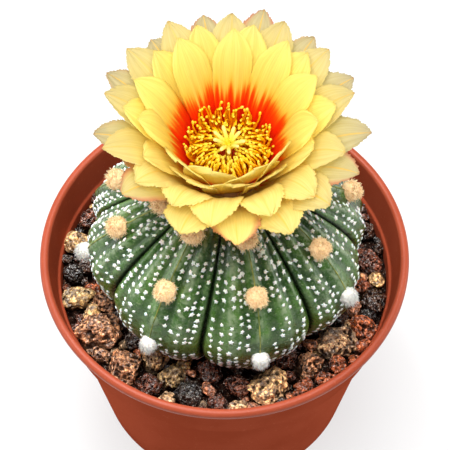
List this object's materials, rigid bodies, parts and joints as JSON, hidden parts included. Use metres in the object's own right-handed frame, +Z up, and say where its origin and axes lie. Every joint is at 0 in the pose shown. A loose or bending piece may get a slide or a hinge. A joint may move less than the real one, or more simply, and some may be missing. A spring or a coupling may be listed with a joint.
{
  "type": "potted round cactus",
  "caption": "Round ribbed cactus with an open flower, growing in mineral grit in a tapered round plant pot that stands on its foot ring.",
  "frame": {"origin": "centre of the pot's foot, on the surface that the pot stands on", "axes": "+Z up along the pot's axis, -Y towards the front that the flower leans to, +X to the right"},
  "size_m": [0.09, 0.09, 0.1214],
  "materials": {
    "pot_plastic": "terracotta-coloured moulded plastic, satin gloss",
    "mineral_grit": "rough porous lava, pumice and gravel, mixed brown, red, ochre and black",
    "cactus_skin": "waxy green skin with small white flecks and buttons of tan and white wool",
    "petals": "thin satin petals, red at the throat, yellow, and cream at the edges",
    "stamens": "orange filaments with powdery yellow anthers",
    "pistil": "pale yellow, soft"
  },
  "bodies": {
    "root": {"pot": "pot_plastic", "grit_bed": "mineral_grit", "cactus_body": "cactus_skin", "flower": "petals", "stamens": "stamens", "pistil": "pistil"}
  },
  "joints": []
}
